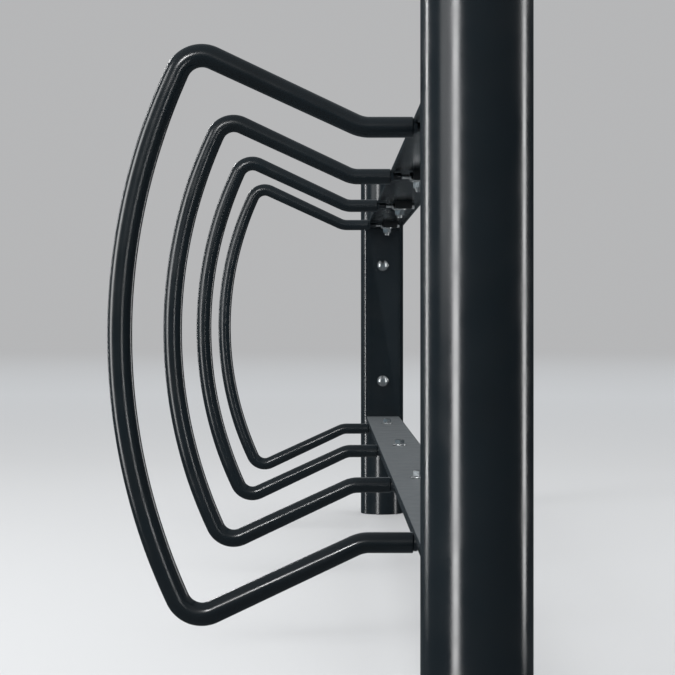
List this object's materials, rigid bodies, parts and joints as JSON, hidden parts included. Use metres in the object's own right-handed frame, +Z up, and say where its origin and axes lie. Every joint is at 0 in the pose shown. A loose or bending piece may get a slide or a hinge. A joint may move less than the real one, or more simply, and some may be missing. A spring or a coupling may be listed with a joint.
{
  "type": "cycle rack",
  "caption": "Cycle rack of bowed tube loops bolted to one side of two long rails, which run one above the other between round posts.",
  "frame": {"origin": "on the floor, at the middle of the rack's length and of its width over posts and loops", "axes": "+Z up; +Y along the rails; +X from the loops towards the rails and posts"},
  "size_m": [0.451, 3.308, 0.86],
  "materials": {
    "powder_coat": "glossy dark blue-grey powder coat",
    "stainless_steel": "bright, lightly brushed stainless steel"
  },
  "bodies": {
    "root": {"post_near": "powder_coat", "post_cap_near": "powder_coat", "post_foot_near": "powder_coat", "end_plate_near": "powder_coat", "plate_bolt_near_1": "stainless_steel", "plate_bolt_near_2": "stainless_steel", "post_far": "powder_coat", "post_cap_far": "powder_coat", "post_foot_far": "powder_coat", "end_plate_far": "powder_coat", "plate_bolt_far_1": "stainless_steel", "plate_bolt_far_2": "stainless_steel", "lower_rail": "powder_coat", "upper_rail": "powder_coat", "loop_1": "powder_coat", "clamp_block_1_lower": "powder_coat", "clamp_bolt_1_lower": "stainless_steel", "clamp_nut_1_lower": "stainless_steel", "draw_bolt_1_lower": "stainless_steel", "jam_nut_1_lower": "stainless_steel", "clamp_block_1_upper": "powder_coat", "clamp_bolt_1_upper": "stainless_steel", "clamp_nut_1_upper": "stainless_steel", "draw_bolt_1_upper": "stainless_steel", "jam_nut_1_upper": "stainless_steel", "loop_2": "powder_coat", "clamp_block_2_lower": "powder_coat", "clamp_bolt_2_lower": "stainless_steel", "clamp_nut_2_lower": "stainless_steel", "draw_bolt_2_lower": "stainless_steel", "jam_nut_2_lower": "stainless_steel", "clamp_block_2_upper": "powder_coat", "clamp_bolt_2_upper": "stainless_steel", "clamp_nut_2_upper": "stainless_steel", "draw_bolt_2_upper": "stainless_steel", "jam_nut_2_upper": "stainless_steel", "loop_3": "powder_coat", "clamp_block_3_lower": "powder_coat", "clamp_bolt_3_lower": "stainless_steel", "clamp_nut_3_lower": "stainless_steel", "draw_bolt_3_lower": "stainless_steel", "jam_nut_3_lower": "stainless_steel", "clamp_block_3_upper": "powder_coat", "clamp_bolt_3_upper": "stainless_steel", "clamp_nut_3_upper": "stainless_steel", "draw_bolt_3_upper": "stainless_steel", "jam_nut_3_upper": "stainless_steel", "loop_4": "powder_coat", "clamp_block_4_lower": "powder_coat", "clamp_bolt_4_lower": "stainless_steel", "clamp_nut_4_lower": "stainless_steel", "draw_bolt_4_lower": "stainless_steel", "jam_nut_4_lower": "stainless_steel", "clamp_block_4_upper": "powder_coat", "clamp_bolt_4_upper": "stainless_steel", "clamp_nut_4_upper": "stainless_steel", "draw_bolt_4_upper": "stainless_steel", "jam_nut_4_upper": "stainless_steel"}
  },
  "joints": []
}
